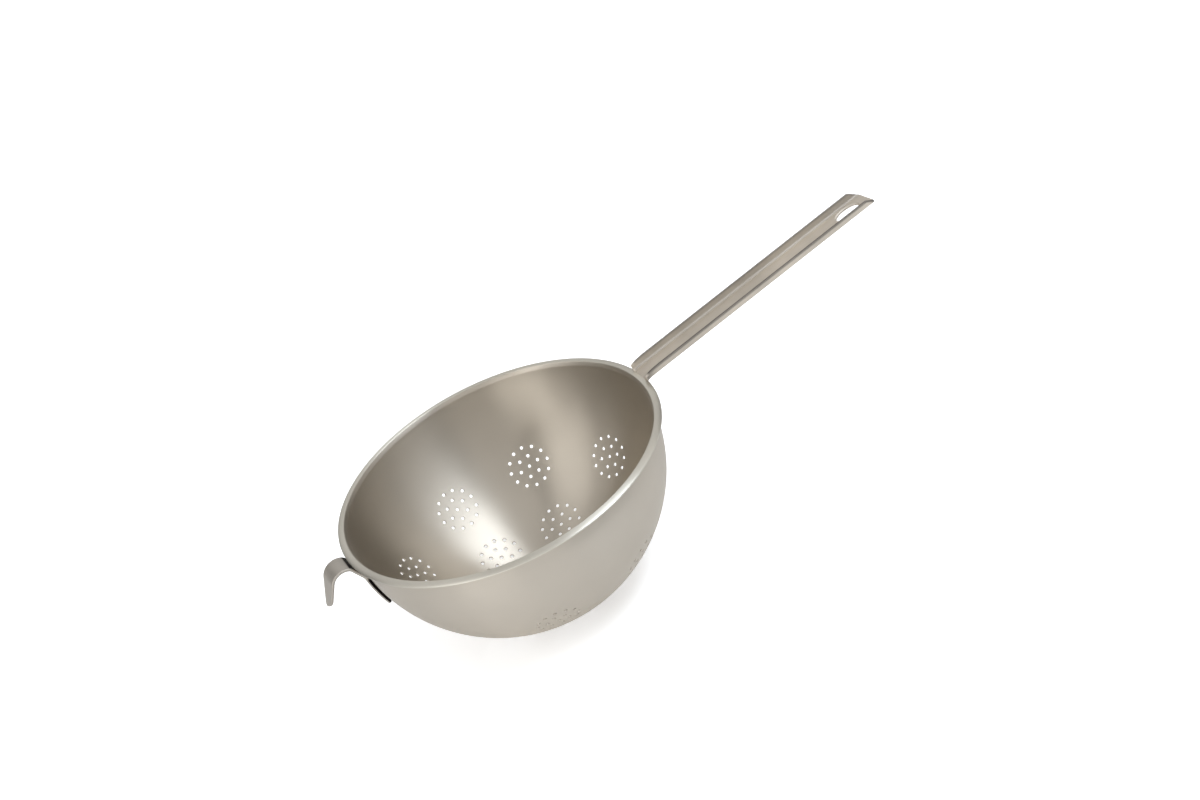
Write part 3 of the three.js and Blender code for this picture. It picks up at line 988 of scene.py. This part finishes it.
def hook_mesh(hook, bowl):
    """The hook: a bent strip with rounded corners at both ends."""
    line = hook_line(hook, bowl)
    run = run_along(line)
    total = run[-1]
    corner = hook.corner
    ends = [t * corner for t in CORNER_STEPS]
    clear = corner * CORNER_CLEAR
    stations = ends + [d for d in run if clear < d < total - clear]
    stations += [total - d for d in reversed(ends)]
    mesh = bmesh.new()
    rows = []
    for d, (radius, height) in zip(stations, along_line(line, stations)):
        inset = max(corner - min(d, total - d), 0.0)
        half = np.interp(d, (total - hook.leg, total), (HOOK_HIGH.y, hook.tip / 2))
        width = half - corner + math.sqrt(max(corner ** 2 - inset ** 2, 0.0))
        late = max(d - total + hook.leg, 0.0) / hook.leg
        slant = Vector((-math.sin(hook.flare), 0.0, -math.cos(hook.flare)))
        slant *= late * hook.skew / half
        rows.append([mesh.verts.new(Vector((-radius, y, bowl.equator + height)) + slant * y)
                     for y in np.linspace(-width, width, HOOK_COLUMNS + 1)])
    grid_faces(mesh, rows)
    return thick_sheet(mesh, "rest_hook", hook.sheet, hook.easing, hook_shade(hook, bowl))


class COLANDER_OT_hook(bpy.types.Operator):
    """Bend the strip hook that rests on the edge of a pot"""

    bl_idname = "colander.hook"
    bl_label = "Rest hook"

    def execute(self, context):
        scene = context.scene
        hook = scene.colander_hook
        finishes = scene.colander_finishes
        steel = strip_steel("hook_steel", finishes.hook, finishes.strip_roughness, ALONG_Z,
                            finishes.soot_and_shade)
        piece = new_piece("rest_hook", hook_mesh(hook, scene.colander_bowl), steel)
        join_root(piece, "hook")
        return {"FINISHED"}


BEAD_STEPS = 72
BEAD_RIPPLE = 0.09
BEAD_PITCH = 1.3 * MM
BEAD_SINK = 0.4 * MM  # how far the bead reaches into the lip and the floor
BEAD_ROWS = 6
BEAD_START = 0.15  # turn of the bead's face from the lip's edge at its first row
BEAD_END = 0.25  # leg at the very ends, as a share of the full one
BEAD_ROUNDING = 6  # power by which the leg falls off to the ends


def weld_mesh(handle, bowl):
    """Rippled fillet bead in the corner between the lip's edge and the handle's floor."""
    top = bowl.equator + handle.floor - handle.sheet / math.cos(handle.incline)
    span = (HANDLE_HIGH.y - handle.sheet - handle.bend) / bowl.lip
    mesh = bmesh.new()
    rows = []
    for turn in np.linspace(-span, span, BEAD_STEPS + 1):
        end = math.sqrt(max(1 - (turn / span) ** BEAD_ROUNDING, 0.0))
        ripple = 1 + BEAD_RIPPLE * math.sin(2 * math.pi * turn * bowl.lip / BEAD_PITCH)
        leg = handle.weld * (BEAD_END + (1 - BEAD_END) * end) * ripple
        section = [(-BEAD_SINK, BEAD_SINK), (-BEAD_SINK, -leg)]
        section += [(leg * math.sin(t), -leg * math.cos(t))
                    for t in np.linspace(BEAD_START, math.pi / 2, BEAD_ROWS)]
        section += [(leg, BEAD_SINK)]
        cosine, sine = math.cos(turn), math.sin(turn)
        rows.append([mesh.verts.new(((bowl.lip + r) * cosine, (bowl.lip + r) * sine, top + z))
                     for r, z in section])
    grid_faces(mesh, [[*row, row[0]] for row in rows])
    mesh.faces.new(rows[0])
    mesh.faces.new(rows[-1])
    bmesh.ops.recalc_face_normals(mesh, faces=mesh.faces)
    return plain_mesh(mesh, "handle_weld_bead")


class COLANDER_OT_weld(bpy.types.Operator):
    """Lay the weld seam under the handle's root"""

    bl_idname = "colander.weld"
    bl_label = "Handle weld"

    def execute(self, context):
        scene = context.scene
        finishes = scene.colander_finishes
        steel = strip_steel("weld_steel", finishes.weld, finishes.weld_roughness, ALONG_Y,
                            finishes.soot_and_shade)
        mesh = weld_mesh(scene.colander_handle, scene.colander_bowl)
        piece = new_piece("handle_weld_bead", mesh, steel)
        join_root(piece, "handle_weld")
        return {"FINISHED"}


def photo_camera(stage, centre):
    """Camera of the photograph, from the place of the rim's middle in the picture."""
    ray = Vector(((stage.centre[0] - PHOTO_WIDTH / 2) / stage.focal,
                  (PHOTO_HEIGHT / 2 - stage.centre[1]) / stage.focal, -1.0))
    away = ray * (stage.focal / stage.scale * MM)
    tilt = Matrix.Rotation(stage.elevation - math.pi / 2, 3, "X")
    aim = Vector((0.0, 0.0, -1.0)).rotation_difference(ray).to_matrix()
    to_camera = aim @ Matrix.Rotation(stage.roll, 3, "Z") @ tilt
    turn = Matrix.Rotation(stage.azimuth, 3, "Z")
    place = centre - turn @ (to_camera.transposed() @ away)
    data = bpy.data.cameras.new("photo_camera")
    data.sensor_width = SENSOR
    data.sensor_fit = "HORIZONTAL"
    data.lens = stage.focal * SENSOR / PHOTO_WIDTH
    data.clip_end = CLIP_END
    camera = bpy.data.objects.new("photo_camera", data)
    camera.matrix_world = Matrix.Translation(place) @ (turn @ to_camera.transposed()).to_4x4()
    return camera


COOL_WHITE = (0.84, 0.91, 1.0)
SOFTBOXES = (
    # name, azimuth, elevation, distance, width, height, power, colour
    ("key_light", 328.5, 58.5, 4.4, 3.2, 1.4, 118.0, COOL_WHITE),
    ("fill_light", 196.0, 35.0, 4.8, 3.0, 3.8, 62.0, WHITE),
    ("front_light", 254.0, 14.0, 5.0, 4.0, 2.6, 36.0, WHITE),
    ("low_light", 221.0, 8.0, 5.0, 3.0, 0.8, 37.0, WHITE),
    ("high_light", 258.0, 58.0, 5.0, 3.0, 2.0, 24.0, WHITE),
    ("top_light", 81.0, 88.0, 4.5, 5.0, 5.0, 34.0, WHITE),
    ("back_light", 81.0, 37.0, 5.0, 5.0, 3.0, 36.0, WHITE),
    ("right_light", 9.0, 38.0, 5.0, 3.0, 2.4, 27.0, WHITE),
    ("left_light", 160.0, 34.0, 5.0, 2.6, 2.4, 22.0, WHITE),
)


def softbox(scene, centre, name, azimuth, elevation, distance, width, height, power, tint):
    data = bpy.data.lights.new(name, "AREA")
    data.shape = "RECTANGLE"
    data.size = width
    data.size_y = height
    data.energy = power
    data.color = tint
    lamp = bpy.data.objects.new(name, data)
    turn, lift = math.radians(azimuth), math.radians(elevation)
    lamp.location = centre + distance * Vector((
        math.cos(lift) * math.cos(turn), math.cos(lift) * math.sin(turn), math.sin(lift)))
    lamp.rotation_euler = (centre - lamp.location).to_track_quat("-Z", "Y").to_euler()
    scene.collection.objects.link(lamp)


FLOOR_HALF = 9.0
FLOOR_GAP = 0.1 * MM
FLOOR_SEGMENTS = 8


class COLANDER_OT_stage(bpy.types.Operator):
    """Set the floor, the studio light and the camera"""

    bl_idname = "colander.stage"
    bl_label = "Studio"

    def execute(self, context):
        scene = context.scene
        stage = scene.colander_stage
        centre = Vector((0.0, 0.0, scene.colander_bowl.equator))
        scene.view_settings.view_transform = "Standard"

        mesh = bmesh.new()
        bmesh.ops.create_grid(
            mesh, x_segments=FLOOR_SEGMENTS, y_segments=FLOOR_SEGMENTS, size=FLOOR_HALF,
            matrix=Matrix.Translation((0.0, 0.0, -FLOOR_GAP)))
        floor_mesh = plain_mesh(mesh, "floor")
        new_piece("floor", floor_mesh, floor_paint(stage.floor))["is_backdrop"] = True

        world = bpy.data.worlds.new("studio")
        world.use_nodes = True
        world.node_tree.nodes["Background"].inputs["Color"].default_value = opaque(stage.world)
        scene.world = world
        for box in SOFTBOXES:
            softbox(scene, centre, *box)
        camera = photo_camera(stage, centre)
        scene.collection.objects.link(camera)
        scene.camera = camera
        return {"FINISHED"}


class COLANDER_PT_panel(bpy.types.Panel):
    """Lists the steps that build the colander"""

    bl_idname = "COLANDER_PT_panel"
    bl_label = "Colander"
    bl_space_type = "VIEW_3D"
    bl_region_type = "UI"
    bl_category = "Colander"

    def draw(self, context):
        for step in STEPS:
            self.layout.operator(step.bl_idname)


GROUPS = {
    "colander_bowl": BowlSizes,
    "colander_handle": HandleSizes,
    "colander_hook": HookSizes,
    "colander_finishes": Finishes,
    "colander_stage": StageSizes,
}
STEPS = (
    COLANDER_OT_bowl, COLANDER_OT_handle, COLANDER_OT_hook, COLANDER_OT_weld, COLANDER_OT_stage)


def register():
    for group in (*GROUPS.values(), *STEPS, COLANDER_PT_panel):
        bpy.utils.register_class(group)
    for name, group in GROUPS.items():
        setattr(bpy.types.Scene, name, PointerProperty(type=group))


def unregister():
    for name in GROUPS:
        delattr(bpy.types.Scene, name)
    for group in reversed((*GROUPS.values(), *STEPS, COLANDER_PT_panel)):
        bpy.utils.unregister_class(group)


def main():
    register()
    bpy.ops.colander.bowl()
    bpy.ops.colander.handle()
    bpy.ops.colander.hook()
    bpy.ops.colander.weld()
    bpy.ops.colander.stage()
    boxes = {"before": CAD_BOX, "after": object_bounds()}
    plain = {name: [list(corner) for corner in box] for name, box in boxes.items()}


if __name__ == "__main__":
    main()
